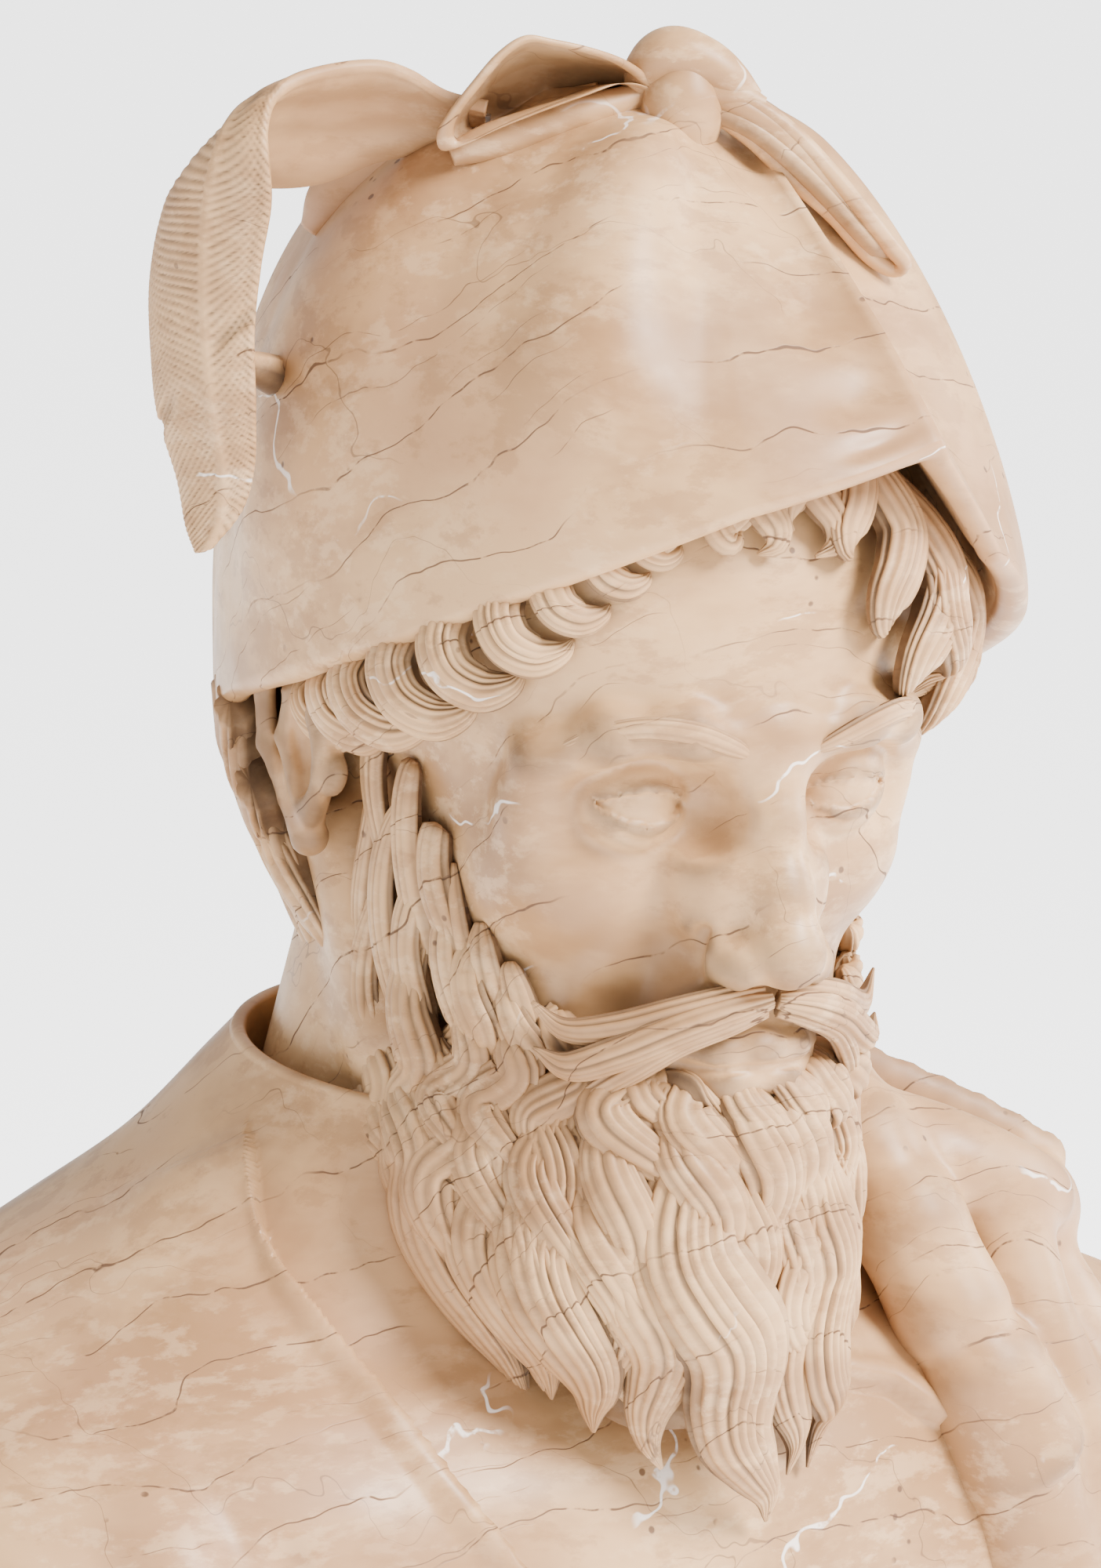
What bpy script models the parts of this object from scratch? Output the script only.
"""A carved marble portrait bust on a turned socle, in metres with +Z up and the chest facing -Y.

It is pieced the way a large bust is: socle and plinth, the gowned chest, a cloak pinned over the left
shoulder, the bearded head with its neck, and a cap, ribbon bow and feather set on top with steel pins.
The origin is the centre of the felt disc that the bust stands on.
"""

import math

import bmesh
import bpy
from mathutils import Euler, Matrix, Vector

# Driving dimensions
FELT_RADIUS = 0.092
FELT_THICKNESS = 0.003
PLINTH_SIDE = 0.205
PLINTH_HEIGHT = 0.026
BUST_BOTTOM = 0.140
JOINT_GAP = 0.0004  # the thickness of the resin in a joint between two stones

HEAD_CENTRE = Vector((0.0215, -0.0385, 0.594))  # midway between the ears
HEAD_YAW = math.radians(-5)  # the head turns a little towards its own right
HEAD_PITCH = math.radians(11)  # and bows
NECK_FOOT = Vector((0.002, 0.006, 0.452))
NECK_RADIUS = 0.059

CAP_WALL = 0.0095
CAP_HOLLOW_DEPTH = 0.045  # how far the brim is undercut

ROD_RADIUS = 0.006
ROD_TOP = 0.210
ANCHOR_RADIUS = 0.010
ANCHOR_LENGTH = 0.050
PIN_RADIUS = 0.004
PIN_CLEARANCE = 0.0005
RECESS_RADIUS = 0.022
RECESS_DEPTH = 0.012

ROUND_STEPS = 32
HOLE_STEPS = 20

HEAD_FRAME = (
    Matrix.Translation(HEAD_CENTRE)
    @ Matrix.Rotation(HEAD_YAW, 4, "Z")
    @ Matrix.Rotation(HEAD_PITCH, 4, "X")
)


# ---------------------------------------------------------------- helpers


def clear_scene():
    for obj in list(bpy.data.objects):
        bpy.data.objects.remove(obj, do_unlink=True)


def collection(name):
    made = bpy.data.collections.new(name)
    bpy.context.scene.collection.children.link(made)
    return made


def material(name, colour, roughness, metallic=0.0):
    made = bpy.data.materials.new(name)
    made.use_nodes = True
    shader = made.node_tree.nodes["Principled BSDF"]
    shader.inputs["Base Color"].default_value = (*colour, 1)
    shader.inputs["Roughness"].default_value = roughness
    shader.inputs["Metallic"].default_value = metallic
    made.diffuse_color = (*colour, 1)
    return made


def adopt(obj, group, finish=None):
    """Moves an object to a collection and gives it its material."""
    for old in list(obj.users_collection):
        old.objects.unlink(obj)
    group.objects.link(obj)
    if finish:
        obj.data.materials.clear()
        obj.data.materials.append(finish)
    return obj


def as_cutter(obj):
    adopt(obj, CUTTERS)
    obj.hide_render = True
    obj.display_type = "WIRE"
    return obj


def settle(obj):
    """Turns an object's modifiers, or a curve, into a plain closed mesh in world space."""
    bpy.context.view_layer.update()
    graph = bpy.context.evaluated_depsgraph_get()
    mesh = bpy.data.meshes.new_from_object(obj.evaluated_get(graph))
    mesh.transform(obj.matrix_world)
    bm = bmesh.new()
    bm.from_mesh(mesh)
    bmesh.ops.remove_doubles(bm, verts=bm.verts, dist=1e-6)
    bm.to_mesh(mesh)
    bm.free()
    settled = bpy.data.objects.new("settled", mesh)
    obj.users_collection[0].objects.link(settled)
    name = obj.name
    bpy.data.objects.remove(obj, do_unlink=True)
    settled.name = name
    return settled


def combine(target, tools, operation):
    """Joins to, or cuts from, target every tool in turn, with one exact Boolean for each."""
    for tool in tools:
        cut = target.modifiers.new(tool.name, "BOOLEAN")
        cut.object = tool
        cut.operation = operation
        cut.solver = "EXACT"
    target = settle(target)
    for tool in tools:
        as_cutter(tool)
    return target


def ellipsoid(name, centre, radii, frame=None, turn=(0, 0, 0), grow=0.0, segments=20, rings=12):
    """A UV sphere stretched to its radii, with grow added to each of them."""
    bpy.ops.mesh.primitive_uv_sphere_add(segments=segments, ring_count=rings, radius=1)
    obj = bpy.context.object
    obj.name = name
    stretch = Matrix.Diagonal((*[r + grow for r in radii], 1))
    spin = Euler(turn, "XYZ").to_matrix().to_4x4()
    place = (frame or Matrix()) @ Matrix.Translation(centre) @ spin @ stretch
    obj.data.transform(place)
    obj.data.shade_smooth()
    return obj


def rod_between(name, start, end, radius, end_radius=None, steps=HOLE_STEPS):
    """A cylinder, or a cone frustum, between two points."""
    start, end = Vector(start), Vector(end)
    along = end - start
    bpy.ops.mesh.primitive_cone_add(
        vertices=steps,
        radius1=radius,
        radius2=radius if end_radius is None else end_radius,
        depth=along.length,
    )
    obj = bpy.context.object
    obj.name = name
    aim = along.to_track_quat("Z", "Y").to_matrix().to_4x4()
    obj.data.transform(Matrix.Translation((start + end) / 2) @ aim)
    return obj


def loft(name, rings):
    """A closed solid through rings of equally many points."""
    bm = bmesh.new()
    made = [[bm.verts.new(point) for point in ring] for ring in rings]
    count = len(rings[0])
    for lower, upper in zip(made, made[1:]):
        for i in range(count):
            j = (i + 1) % count
            bm.faces.new((lower[i], lower[j], upper[j], upper[i]))
    for ring, outward in ((made[0], -1), (made[-1], 1)):
        middle = bm.verts.new(sum((v.co for v in ring), Vector()) / count)
        for i in range(count):
            pair = (ring[i], ring[(i + 1) % count])
            bm.faces.new((*pair, middle) if outward > 0 else (*reversed(pair), middle))
    if bm.calc_volume(signed=True) < 0:
        bmesh.ops.reverse_faces(bm, faces=bm.faces)
    mesh = bpy.data.meshes.new(name)
    bm.to_mesh(mesh)
    bm.free()
    obj = bpy.data.objects.new(name, mesh)
    bpy.context.scene.collection.objects.link(obj)
    return obj


def prism(name, front, back):
    """A closed solid between two outlines of equally many points, each of them flat."""
    bm = bmesh.new()
    near = [bm.verts.new(point) for point in front]
    far = [bm.verts.new(point) for point in back]
    bm.faces.new(near)
    bm.faces.new(list(reversed(far)))
    count = len(near)
    for i in range(count):
        j = (i + 1) % count
        bm.faces.new((near[j], near[i], far[i], far[j]))
    if bm.calc_volume(signed=True) < 0:
        bmesh.ops.reverse_faces(bm, faces=bm.faces)
    mesh = bpy.data.meshes.new(name)
    bm.to_mesh(mesh)
    bm.free()
    obj = bpy.data.objects.new(name, mesh)
    bpy.context.scene.collection.objects.link(obj)
    return obj


def subdivide(obj, levels=1):
    smooth = obj.modifiers.new("Subdivision", "SUBSURF")
    smooth.levels = smooth.render_levels = levels
    return obj


def smooth_line(points, steps):
    """Points along a Catmull-Rom curve through the given ones."""
    ends = [2 * points[0] - points[1], *points, 2 * points[-1] - points[-2]]
    line = []
    for before, start, end, after in zip(ends, ends[1:], ends[2:], ends[3:]):
        for i in range(steps):
            t = i / steps
            line.append(
                0.5
                * (
                    2 * start
                    + (end - before) * t
                    + (2 * before - 5 * start + 4 * end - after) * t**2
                    + (3 * start - before - 3 * end + after) * t**3
                )
            )
    return [*line, points[-1]]


def tube(name, points, radii, steps=12):
    """A closed tube along points, with one (across, up) pair of radii for each point."""
    rings = []
    for i, point in enumerate(points):
        along = (points[min(i + 1, len(points) - 1)] - points[max(i - 1, 0)]).normalized()
        aside = along.cross(Vector((0, 0, 1))).normalized()
        above = aside.cross(along).normalized()
        across, up = radii[i]
        angles = [2 * math.pi * k / steps for k in range(steps)]
        rings.append([point + aside * across * math.cos(a) + above * up * math.sin(a) for a in angles])
    return loft(name, rings)


# ---------------------------------------------------------------- base


def make_felt():
    felt = rod_between("felt_disc", (0, 0, 0), (0, 0, FELT_THICKNESS), FELT_RADIUS, steps=ROUND_STEPS)
    return adopt(felt, BUST, FELT)


def make_plinth():
    """A square slab with softened edges and a round recess for the nut under it."""
    bottom = FELT_THICKNESS + JOINT_GAP
    bpy.ops.mesh.primitive_cube_add(size=1, location=(0, 0, bottom + PLINTH_HEIGHT / 2))
    plinth = bpy.context.object
    plinth.name = "plinth"
    plinth.data.transform(Matrix.Diagonal((PLINTH_SIDE, PLINTH_SIDE, PLINTH_HEIGHT, 1)))
    edges = plinth.modifiers.new("Softened edges", "BEVEL")
    edges.width = 0.003
    edges.segments = 3
    recess = rod_between(
        "recess_cutter", (0, 0, bottom - 0.01), (0, 0, bottom + RECESS_DEPTH), RECESS_RADIUS
    )
    plinth = combine(plinth, [recess, rod_hole("plinth_rod_hole")], "DIFFERENCE")
    return adopt(plinth, BUST, STONE)


def rod_hole(name):
    return rod_between(name, (0, 0, -0.01), (0, 0, ROD_TOP + 0.005), ROD_RADIUS + PIN_CLEARANCE)


def anchor_hole():
    top = BUST_BOTTOM + ANCHOR_LENGTH + JOINT_GAP
    return rod_between("anchor_hole", (0, 0, BUST_BOTTOM - 0.01), (0, 0, top), ANCHOR_RADIUS + JOINT_GAP)


def arc(centre_r, centre_z, radius, start, end, steps):
    """Profile points (r, z) on an arc, from start to end in degrees."""
    angles = [math.radians(start + (end - start) * i / steps) for i in range(steps + 1)]
    return [(centre_r + radius * math.cos(a), centre_z + radius * math.sin(a)) for a in angles]


def make_socle():
    """A turned, waisted socle: a torus and fillet, a scotia, and a moulded top."""
    foot = FELT_THICKNESS + PLINTH_HEIGHT + 2 * JOINT_GAP
    top = BUST_BOTTOM - JOINT_GAP
    profile = [(0.0, top), (0.064, top)]
    profile += arc(0.064, top - 0.006, 0.006, 90, -90, 6)
    profile += [(0.058, top - 0.012), (0.058, top - 0.016)]
    profile += arc(0.103, top - 0.054, 0.0615, 142, 214, 10)
    profile += [(0.074, foot + 0.026), (0.080, foot + 0.022)]
    profile += arc(0.080, foot + 0.011, 0.011, 90, -90, 8)
    profile += [(0.0, foot)]
    mesh = bpy.data.meshes.new("socle")
    points = [(r, 0, z) for r, z in profile]
    mesh.from_pydata(points, [(i, i + 1) for i in range(len(points) - 1)], [])
    socle = bpy.data.objects.new("socle", mesh)
    bpy.context.scene.collection.objects.link(socle)
    turning = socle.modifiers.new("Turned on the lathe", "SCREW")
    turning.steps = turning.render_steps = ROUND_STEPS
    turning.use_merge_vertices = True
    turning.merge_threshold = 0.00001
    socle = combine(socle, [rod_hole("socle_rod_hole")], "DIFFERENCE")
    return adopt(socle, BUST, STONE)


def make_rod_and_nut():
    """The steel rod that ties socle and chest together, with its washer and nut in the recess."""
    roof = FELT_THICKNESS + JOINT_GAP + RECESS_DEPTH
    washer_thickness = 0.002
    nut_height = 0.0055
    slack = 0.0003
    rod = rod_between("socle_rod", (0, 0, roof - 0.0105), (0, 0, ROD_TOP), ROD_RADIUS)
    adopt(rod, BUST, STEEL)
    washer_top = roof - slack
    washer = rod_between("rod_washer", (0, 0, washer_top - washer_thickness), (0, 0, washer_top), 0.015)
    nut_top = washer_top - washer_thickness - slack
    nut = rod_between("rod_nut", (0, 0, nut_top - nut_height), (0, 0, nut_top), 0.0108, steps=6)
    anchor_top = BUST_BOTTOM + ANCHOR_LENGTH
    anchor = rod_between("rod_anchor", (0, 0, BUST_BOTTOM + slack), (0, 0, anchor_top), ANCHOR_RADIUS)
    for piece, finish in ((washer, STEEL), (nut, STEEL), (anchor, BRASS)):
        hole = rod_between(f"{piece.name}_hole", (0, 0, 0), (0, 0, ROD_TOP), ROD_RADIUS + slack)
        adopt(combine(piece, [hole], "DIFFERENCE"), BUST, finish)


# ---------------------------------------------------------------- chest and cloak

CHEST_SECTIONS = [  # height, half width, half depth, centre in Y, squareness, rise at the back, centre in X
    (0.1400, 0.062, 0.058, 0.000, 2.0, 0.000, 0.000),
    (0.1480, 0.074, 0.067, 0.000, 2.0, 0.000, 0.000),
    (0.1700, 0.108, 0.084, 0.002, 2.1, 0.000, 0.000),
    (0.2050, 0.152, 0.100, 0.004, 2.2, 0.000, 0.000),
    (0.2500, 0.196, 0.113, 0.006, 2.4, 0.000, 0.000),
    (0.3000, 0.222, 0.121, 0.008, 2.5, 0.000, 0.000),
    (0.3500, 0.229, 0.123, 0.010, 2.5, 0.000, 0.000),
    (0.3950, 0.220, 0.119, 0.014, 2.5, 0.000, 0.000),
    (0.4200, 0.200, 0.109, 0.018, 2.4, 0.002, 0.000),
    (0.4390, 0.158, 0.097, 0.020, 2.2, 0.004, 0.001),
    (0.4560, 0.122, 0.088, 0.018, 2.1, 0.006, 0.002),
    (0.4740, 0.095, 0.079, 0.010, 2.0, 0.008, 0.005),
    (0.4950, 0.077, 0.073, 0.000, 2.0, 0.010, 0.009),
    (0.5050, 0.071, 0.071, -0.005, 2.0, 0.010, 0.010),
]


def chest_ring(section, steps=28):
    height, half_width, half_depth, centre, squareness, rise, aside = section
    ring = []
    for i in range(steps):
        a = 2 * math.pi * i / steps
        c, s = math.cos(a), math.sin(a)
        x = half_width * math.copysign(abs(c) ** (2 / squareness), c)
        y = half_depth * math.copysign(abs(s) ** (2 / squareness), s)
        ring.append(Vector((aside + x, centre + y, height + rise * s)))
    return ring


def chest_solid(name, grow=0.0):
    """The chest's outer shape, or the same shape grown outwards by grow."""
    chest = subdivide(loft(name, [chest_ring(section) for section in CHEST_SECTIONS]))
    chest = settle(chest)
    if grow:
        shifts = [(v, v.normal * grow) for v in chest.data.vertices]
        for vertex, shift in shifts:
            vertex.co += shift
    return chest


def collar_opening():
    """The space between the standing collar and the neck."""
    return rod_between("collar_opening", (0.0078, 0.0006, 0.486), (0.0125, -0.008, 0.53), 0.0625, 0.0655, 28)


LAPEL_THICKNESS = 0.003
LAPELS = {  # outlines seen from the front, as (x, z)
    "gown_panel": [
        (-0.064, 0.520), (-0.075, 0.479), (-0.081, 0.461), (-0.074, 0.426), (-0.066, 0.409), (-0.052, 0.388),
        (-0.028, 0.355), (0.010, 0.310), (0.040, 0.250), (-0.040, 0.230), (-0.110, 0.300), (-0.140, 0.380),
        (-0.140, 0.520),
    ],
    "lapel_left": [
        (0.020, 0.530), (0.012, 0.470), (0.018, 0.437), (0.040, 0.424), (0.065, 0.416), (0.088, 0.410),
        (0.102, 0.399), (0.122, 0.410), (0.110, 0.530),
    ],
}


def lapel_solid(name, grow=0.0):
    """One lapel of the gown: a skin on the front of the chest, inside the lapel's outline."""
    outline = LAPELS[name]
    front = [Vector((x, -0.20, z)) for x, z in outline]
    back = [Vector((x, -0.02, z)) for x, z in outline]
    lapel = chest_solid(name, LAPEL_THICKNESS + grow)
    return combine(lapel, [prism(f"{name}_outline", front, back)], "INTERSECT")


def make_chest():
    chest = combine(chest_solid("chest"), [lapel_solid(name) for name in LAPELS], "UNION")
    cutters = [
        neck_solid("neck_socket", JOINT_GAP),
        beard_solid("beard_seat", JOINT_GAP),
        *head_masses([JAW], JOINT_GAP),
        collar_opening(),
        rod_hole("chest_rod_hole"),
        anchor_hole(),
        *[pin_hole(name) for name in NECK_PINS],
        *[pin_hole(name) for name in CLOAK_PINS],
    ]
    chest = combine(chest, cutters, "DIFFERENCE")
    return adopt(chest, BUST, STONE)


def cloak_region():
    """The space over the left shoulder that the cloak covers, front and back."""
    corners = [
        (0.080, -0.20, 0.56),
        (0.150, -0.20, 0.31),
        (0.100, -0.20, 0.175),
        (0.290, -0.20, 0.175),
        (0.290, -0.20, 0.56),
    ]
    front = [Vector(p) for p in corners]
    back_shift = [-0.060, -0.100, -0.040, 0.0, 0.0]
    back = [Vector((p.x + shift, 0.20, p.z)) for p, shift in zip(front, back_shift)]
    return prism("cloak_region", front, back)


CLOAK_THICKNESS = 0.020
CLOAK_ROLL = [  # the roll along the cloak's front edge, then the sleeve: a point and its radius
    (Vector((0.020, 0.084, 0.506)), 0.012),
    (Vector((0.060, 0.054, 0.510)), 0.013),
    (Vector((0.090, 0.008, 0.505)), 0.013),
    (Vector((0.098, -0.032, 0.492)), 0.013),
    (Vector((0.100, -0.072, 0.466)), 0.0145),
    (Vector((0.106, -0.084, 0.446)), 0.016),
    (Vector((0.114, -0.092, 0.424)), 0.018),
    (Vector((0.124, -0.097, 0.400)), 0.020),
    (Vector((0.133, -0.099, 0.375)), 0.0205),
    (Vector((0.140, -0.097, 0.345)), 0.019),
    (Vector((0.143, -0.093, 0.305)), 0.020),
    (Vector((0.137, -0.087, 0.265)), 0.019),
    (Vector((0.122, -0.080, 0.225)), 0.017),
    (Vector((0.100, -0.072, 0.185)), 0.013),
]
CLOAK_FOLDS = [  # soft folds on the shoulder, as rods from point to point with their radii
    ((0.100, -0.048, 0.474), (0.150, -0.070, 0.454), 0.013, 0.011),
    ((0.142, -0.074, 0.452), (0.160, -0.086, 0.368), 0.011, 0.015),
    ((0.168, -0.056, 0.452), (0.180, -0.066, 0.396), 0.009, 0.014),
]


def make_cloak():
    """The cloak's sheet over the shoulder, with folds and the thick roll along its front edge."""
    sheet = chest_solid("cloak", CLOAK_THICKNESS)
    sheet = combine(sheet, [cloak_region()], "INTERSECT")
    line = smooth_line([point for point, radius in CLOAK_ROLL], 2)
    radii = smooth_line([Vector((radius, 0, 0)) for point, radius in CLOAK_ROLL], 2)
    roll = tube("cloak_roll", line, [(r.x, r.x) for r in radii])
    folds = [rod_between(f"cloak_fold_{i}", *fold, 14) for i, fold in enumerate(CLOAK_FOLDS)]
    cloak = combine(sheet, [roll, *folds], "UNION")
    seats = [
        chest_solid("chest_seat", 2 * JOINT_GAP),
        lapel_solid("lapel_left", 3 * JOINT_GAP),
        collar_opening(),
        neck_solid("neck_clearance", 0.004),
        beard_solid("beard_clearance", 0.003),
        *[pin_hole(name) for name in CLOAK_PINS],
    ]
    cloak = combine(cloak, seats, "DIFFERENCE")
    return adopt(cloak, BUST, STONE)


# ---------------------------------------------------------------- head


def in_head(x, y, z):
    return HEAD_FRAME @ Vector((x, y, z))


def neck_solid(name, grow=0.0):
    top = in_head(0, 0.022, -0.020)
    foot = NECK_FOOT - Vector((0, 0, grow))
    return rod_between(name, foot, top, NECK_RADIUS + grow, NECK_RADIUS + 0.003 + grow, 28)


BEARD_SECTIONS = [  # centre in the world, half width, half depth
    (Vector((0.0180, -0.1070, 0.386)), 0.018, 0.008),
    (Vector((0.0156, -0.1065, 0.398)), 0.043, 0.014),
    (Vector((0.0130, -0.1030, 0.420)), 0.055, 0.024),
    (Vector((0.0100, -0.0960, 0.453)), 0.063, 0.036),
    (Vector((0.0125, -0.0915, 0.480)), 0.061, 0.040),
    (Vector((0.0154, -0.0850, 0.505)), 0.059, 0.043),
    (Vector((0.0165, -0.0770, 0.530)), 0.058, 0.042),
    (Vector((0.0175, -0.0630, 0.556)), 0.057, 0.038),
    (Vector((0.0180, -0.0560, 0.572)), 0.054, 0.032),
]


def beard_solid(name, grow=0.0):
    """The beard's mass, from the jaw down to its tips on the chest."""
    rings = []
    for centre, half_width, half_depth in BEARD_SECTIONS:
        angles = [2 * math.pi * i / 20 for i in range(20)]
        rings.append(
            [
                centre
                + Matrix.Rotation(HEAD_YAW, 3, "Z")
                @ Vector(((half_width + grow) * math.cos(a), (half_depth + grow) * math.sin(a), 0))
                for a in angles
            ]
        )
    if grow:
        for point in rings[0]:
            point.z -= grow
    return loft(name, rings)


HEAD_MASSES = [  # name, centre, radii, turn in the head's frame, segments and rings
    ("skull", (0, -0.002, 0.046), (0.076, 0.092, 0.084), (0, 0, 0), 20, 12),
    ("hair_mass", (0, -0.002, 0.040), (0.086, 0.099, 0.050), (-0.42, 0, 0), 20, 12),
    ("face", (0, -0.038, -0.018), (0.061, 0.058, 0.076), (0, 0, 0), 20, 12),
    ("nape", (0, 0.054, -0.032), (0.058, 0.038, 0.048), (0, 0, 0), 16, 10),
    ("ear_right", (-0.080, 0.015, 0.003), (0.010, 0.018, 0.033), (0.15, 0, -0.3), 12, 10),
    ("ear_left", (0.080, 0.015, 0.003), (0.010, 0.018, 0.033), (0.15, 0, 0.3), 12, 10),
]
JAW = ("jaw", (0, -0.044, -0.060), (0.055, 0.052, 0.046), (0, 0, 0), 20, 12)
FACE_MASSES = [
    JAW,
    ("brow", (0, -0.060, 0.028), (0.052, 0.040, 0.020), (0, 0, 0), 20, 12),
    ("mouth", (0, -0.070, -0.052), (0.036, 0.036, 0.030), (0, 0, 0), 16, 10),
    ("nose", (0, -0.099, -0.012), (0.0140, 0.018, 0.031), (-0.28, 0, 0), 12, 8),
    ("moustache", (0, -0.088, -0.050), (0.036, 0.024, 0.010), (0, 0, 0), 16, 8),
]


def head_masses(masses, grow=0.0):
    return [
        ellipsoid(name, centre, radii, HEAD_FRAME, turn, grow, segments, rings)
        for name, centre, radii, turn, segments, rings in masses
    ]


def make_head():
    """Head, neck, hair and beard, carved from one block."""
    head, *parts = head_masses(HEAD_MASSES)
    head.name = "head"
    parts += [*head_masses(FACE_MASSES), neck_solid("neck"), beard_solid("beard")]
    head = combine(head, parts, "UNION")
    holes = [pin_hole(name) for name in (*NECK_PINS, "cap_pin")]
    head = combine(head, holes, "DIFFERENCE")
    return adopt(head, BUST, STONE)


# ---------------------------------------------------------------- cap, bow and feather


CAP_AXIS = Vector((0.0287, -0.0445, 0))
CAP_FRONT = Vector((0.122, -0.993, 0))
CAP_SIDE = Vector((0.993, 0.122, 0))
CAP_HALF_DEPTH = 0.122
CAP_HALF_WIDTH = 0.103
CAP_CROWN = Vector((0.040, -0.0645, 0.7763))
CAP_RIM_HEIGHTS = [  # degrees round from the peak towards the left ear, and the height of the rim
    (-180, 0.584), (-160, 0.587), (-140, 0.597), (-120, 0.611), (-100, 0.6205), (-80, 0.633), (-60, 0.648),
    (-30, 0.6695), (0, 0.684), (20, 0.653), (40, 0.637), (60, 0.622), (80, 0.606), (100, 0.597),
    (130, 0.590), (160, 0.585), (180, 0.584),
]
CAP_DROPS = [1.0, 0.94, 0.86, 0.76, 0.66, 0.56, 0.46, 0.36, 0.26, 0.16, 0.07]


def rim_height(degrees):
    for (start, low), (end, high) in zip(CAP_RIM_HEIGHTS, CAP_RIM_HEIGHTS[1:]):
        if start <= degrees <= end:
            return low + (high - low) * (degrees - start) / (end - start)
    return CAP_RIM_HEIGHTS[-1][1]


def cap_rim(angle):
    """A point of the brim's edge. Angle 0 is the peak and 90 degrees is over the left ear."""
    ahead, aside = CAP_HALF_DEPTH * math.cos(angle), CAP_HALF_WIDTH * math.sin(angle)
    point = CAP_AXIS + CAP_FRONT * ahead + CAP_SIDE * aside
    point.z = rim_height(math.degrees(angle))
    return point


def cap_point(angle, drop, inset=0.0):
    """A point of the cap: drop runs from 0 at the crown to 1 at the rim."""
    reach = 1.56 if angle > 0 else 1.10
    squareness = 2.9 - 1.8 * math.exp(-((angle / reach) ** 2))
    turn = drop * math.pi / 2
    out = math.sin(turn) ** (2 / squareness)
    down = 1 - max(math.cos(turn), 0) ** (2 / squareness)
    span = cap_rim(angle) - CAP_CROWN
    keep = 1 - inset / math.hypot(span.x, span.y)
    return CAP_CROWN + Vector((span.x * keep * out, span.y * keep * out, span.z * down - inset * (1 - down)))


def cap_ring(drop, inset=0.0, below=0.0, steps=ROUND_STEPS):
    ring = []
    for i in range(steps):
        angle = math.remainder(2 * math.pi * i / steps, 2 * math.pi)
        ring.append(cap_point(angle, drop, inset) - Vector((0, 0, below)))
    return ring


def make_cap():
    """A soft cap with a flaring brim, undercut below, seated on the skull."""
    cap = cap_shape("cap")
    hollow_drops = [1.0, 0.90, 0.80, 0.70]
    lowest = cap_ring(1.0, CAP_WALL, CAP_HOLLOW_DEPTH)
    hollow = loft("brim_hollow", [lowest, *[cap_ring(drop, CAP_WALL) for drop in hollow_drops]])
    cutters = [
        hollow,
        *head_masses(HEAD_MASSES, JOINT_GAP),
        *[pin_hole(name) for name in ("cap_pin", "bow_pin", "feather_pin")],
    ]
    cap = combine(cap, cutters, "DIFFERENCE")
    return adopt(cap, BUST, STONE)


def cap_shape(name, grow=0.0):
    """The cap's outer shape, or the same shape grown outwards by grow."""
    return loft(name, [cap_ring(drop, -grow) for drop in CAP_DROPS])


# ---------------------------------------------------------------- feather and bow

FEATHER_LINES = [  # millimetres from root to tip: the edge towards the front, the quill, the other edge
    [(-28, -64, 771), (-24, -58, 767), (-22, -53, 762)],
    [(-49, -59, 780), (-42, -48, 769), (-39, -42, 757)],
    [(-74, -58, 782), (-62, -42, 768), (-56, -34, 751)],
    [(-92, -59, 774), (-89, -44, 769), (-76, -28, 749)],
    [(-95, -61, 757), (-103, -42, 756), (-97, -20, 747)],
    [(-94, -55, 730), (-105, -37, 728), (-104, -17, 722)],
    [(-90, -46, 692), (-100, -34, 691), (-103, -18, 689)],
    [(-88, -42, 677), (-96, -34, 674), (-99, -21, 672)],
    [(-89, -38, 665), (-95, -32, 661), (-98, -24, 659)],
    [(-94, -32, 655), (-96, -30, 653), (-97, -28, 652)],
]
FEATHER_HALF_THICKNESS = 0.0026
FEATHER_ROOT = Vector((-0.0250, -0.0570, 0.7655))
FEATHER_STRUT_START = Vector((-0.1000, -0.0350, 0.7050))
FEATHER_STRUT_END = Vector((-0.0640, -0.0210, 0.6960))


def feather_solid(name, grow=0.0):
    """A curling feather, thin across and cupped, or the same grown outwards by grow."""
    edges = [smooth_line([Vector(row[k]) / 1000 for row in FEATHER_LINES], 3) for k in range(3)]
    shares = [math.cos(math.pi * k / 6) for k in range(7)]
    rings = []
    for near, middle, far in zip(*edges):
        wider = 1 + grow / max((near - far).length / 2, 0.001)
        across = (near - far).normalized()
        i = len(rings)
        ahead, behind = edges[1][min(i + 1, len(edges[1]) - 1)], edges[1][max(i - 1, 0)]
        out = across.cross((ahead - behind).normalized()).normalized()
        bow_depth = middle - (near + far) / 2
        spine = [(near + far) / 2 + (near - far) / 2 * s * wider + bow_depth * (1 - s * s) for s in shares]
        thick = [(FEATHER_HALF_THICKNESS + grow) * (1 - 0.75 * abs(s) ** 6) for s in shares]
        top = [point + out * t for point, t in zip(spine, thick)]
        bottom = [point - out * t for point, t in zip(spine, thick)]
        rings.append([*top, *reversed(bottom)])
    return loft(name, rings)


def feather_root(name, grow=0.0):
    """The block at the quill's root, which is pinned to the cap."""
    return ellipsoid(name, FEATHER_ROOT, (0.009, 0.009, 0.008), grow=grow, segments=14, rings=8)


def feather_strut():
    """The stub of stone left between the hanging feather and the side of the cap."""
    return rod_between("feather_strut", FEATHER_STRUT_START, FEATHER_STRUT_END, 0.004, 0.006, 12)


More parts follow.
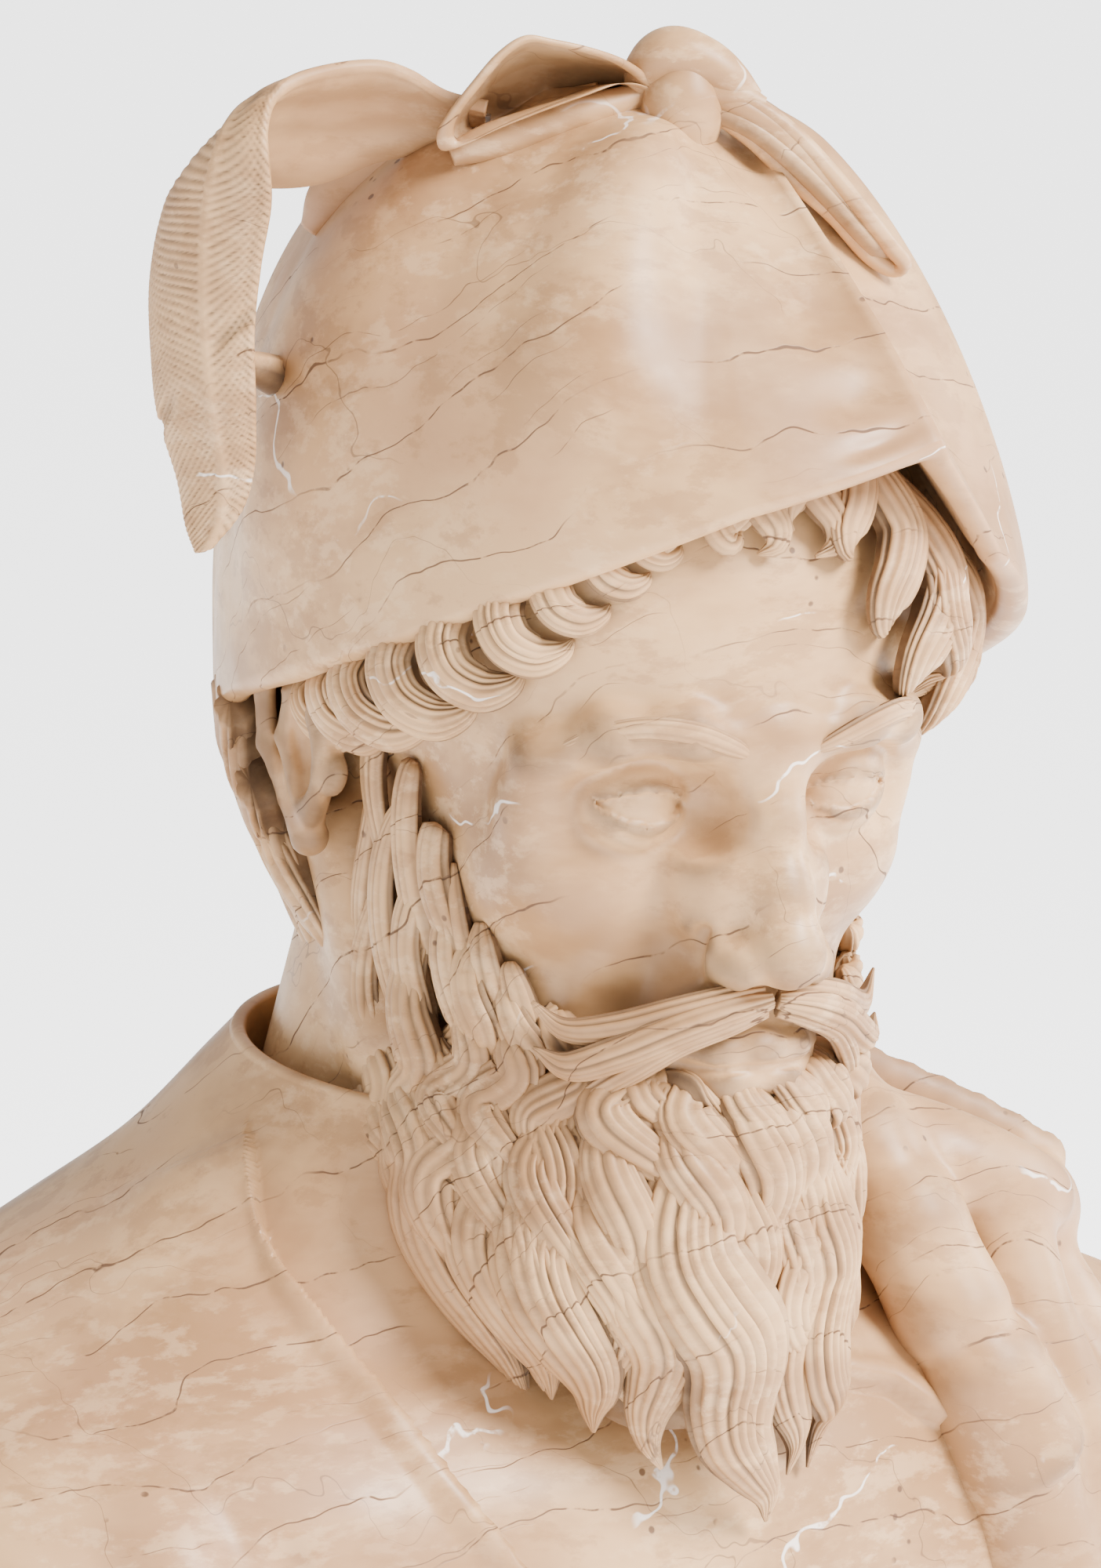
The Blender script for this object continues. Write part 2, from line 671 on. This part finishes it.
def make_feather():
    """The feather, set into the cap beside the bow."""
    feather = combine(feather_solid("feather"), [feather_root("feather_root"), feather_strut()], "UNION")
    seat = cap_shape("cap_under_feather", JOINT_GAP)
    feather = combine(feather, [seat, pin_hole("feather_pin")], "DIFFERENCE")
    return adopt(feather, BUST, STONE)


KNOT = Vector((0.0190, -0.0890, 0.7800))
LOOP_BAND = [  # the bow's right loop in millimetres: over the top, then its floor back to the knot
    (14, -82, 777), (-2, -81, 783), (-20, -79, 785), (-32, -74, 781), (-38, -67, 772), (-38, -63, 765),
]
LOOP_BAND_HALF_WIDTHS = [0.006, 0.007, 0.008, 0.008, 0.007, 0.005]
LOOP_FLOOR = [(-39, -62, 764), (-30, -67, 764), (-18, -73, 768), (-6, -78, 772), (6, -81, 775), (14, -83, 776)]
LOOP_FLOOR_HALF_WIDTHS = [0.005, 0.006, 0.007, 0.007, 0.006, 0.006]
LEAF_LINE = [(12, -82, 773), (33, -94, 766), (45, -99, 757), (57, -103, 745), (67, -106, 734), (74, -108, 727)]
LEAF_HALF_WIDTHS = [0.006, 0.009, 0.011, 0.0115, 0.010, 0.005]
KNOT_LINE = [(8, -81, 775), (16, -87, 783), (23, -92, 781), (30, -96, 776), (36, -99, 772)]
KNOT_RADII = [0.004, 0.0080, 0.0075, 0.0055, 0.0025]
TAIL_LINE = [(12, -80, 777), (4, -72, 776), (-14, -50, 773), (-32, -32, 762), (-44, -17, 748), (-48, -8, 738)]
TAIL_HALF_WIDTHS = [0.006, 0.006, 0.007, 0.0085, 0.008, 0.004]


def ribbon(name, line, half_widths, flatness=1.0):
    """A tube through points given in millimetres, with a radius for each."""
    points = smooth_line([Vector(point) / 1000 for point in line], 2)
    widths = smooth_line([Vector((w, 0, 0)) for w in half_widths], 2)
    return tube(name, points, [(w.x, w.x * flatness) for w in widths])


def make_bow():
    """The ribbon bow on the crown: a knot, a loop on each side and a tail over the back of the cap."""
    knot = ribbon("bow", KNOT_LINE, KNOT_RADII)
    parts = [
        ellipsoid("bow_foot", KNOT - Vector((0, 0, 0.006)), (0.014, 0.013, 0.009), segments=16, rings=10),
        ribbon("loop_band", LOOP_BAND, LOOP_BAND_HALF_WIDTHS, 0.4),
        ribbon("loop_floor", LOOP_FLOOR, LOOP_FLOOR_HALF_WIDTHS, 0.5),
        ribbon("left_loop", LEAF_LINE, LEAF_HALF_WIDTHS, 0.45),
        ribbon("tail", TAIL_LINE, TAIL_HALF_WIDTHS, 0.65),
    ]
    bow = combine(knot, parts, "UNION")
    seat = cap_shape("cap_under_bow", JOINT_GAP)
    groove = feather_solid("feather_groove", 0.0006)
    root = feather_root("feather_root_seat", JOINT_GAP)
    bow = combine(bow, [seat, groove, root, pin_hole("bow_pin"), pin_hole("feather_pin")], "DIFFERENCE")
    return adopt(bow, BUST, STONE)


# ---------------------------------------------------------------- pins

NECK_PINS = ("neck_pin_right", "neck_pin_left")
CLOAK_PINS = ("cloak_pin_upper", "cloak_pin_lower")
CAP_PIN_AXIS = (HEAD_FRAME.to_3x3() @ Vector((0, 0, 1))).normalized()
SHOULDER_TOP = Vector((0.150, 0.020, 0.452))
ARM_SIDE = Vector((0.215, 0.010, 0.340))

PINS = {  # name: one end, the other end
    "neck_pin_right": (Vector((-0.024, 0.006, 0.412)), Vector((-0.024, 0.006, 0.500))),
    "neck_pin_left": (Vector((0.028, 0.006, 0.412)), Vector((0.028, 0.006, 0.500))),
    "cloak_pin_upper": (SHOULDER_TOP - Vector((0.004, 0, 0.040)), SHOULDER_TOP + Vector((0, 0, 0.006))),
    "cloak_pin_lower": (ARM_SIDE - Vector((0.035, 0, 0)), ARM_SIDE + Vector((0.020, 0, 0))),
    "cap_pin": (in_head(0, 0, 0.095), in_head(0, 0, 0.162)),
    "bow_pin": (KNOT - CAP_PIN_AXIS * 0.030, KNOT + CAP_PIN_AXIS * 0.002),
    "feather_pin": (FEATHER_ROOT - CAP_PIN_AXIS * 0.022, FEATHER_ROOT + CAP_PIN_AXIS * 0.003),
}


def pin_radius(name):
    return 0.0025 if name == "feather_pin" else PIN_RADIUS


def pin_hole(name):
    """A drilled hole a little longer and wider than its pin."""
    start, end = PINS[name]
    beyond = (end - start).normalized() * PIN_CLEARANCE * 2
    radius = pin_radius(name) + PIN_CLEARANCE
    return rod_between(f"{name}_hole", start - beyond, end + beyond, radius, steps=12)


def make_pins():
    for name, (start, end) in PINS.items():
        adopt(rod_between(name, start, end, pin_radius(name), steps=12), BUST, STEEL)


clear_scene()
BUST = collection("marble_bust")
CUTTERS = collection("cutters")
STONE = material("Marble", (0.78, 0.62, 0.47), 0.35)
STEEL = material("Stainless steel", (0.55, 0.55, 0.56), 0.35, 1.0)
BRASS = material("Brass", (0.70, 0.53, 0.25), 0.35, 1.0)
FELT = material("Felt", (0.12, 0.16, 0.12), 0.95)

make_felt()
make_plinth()
make_socle()
make_rod_and_nut()
make_chest()
make_cloak()
make_head()
make_cap()
make_feather()
make_bow()
make_pins()
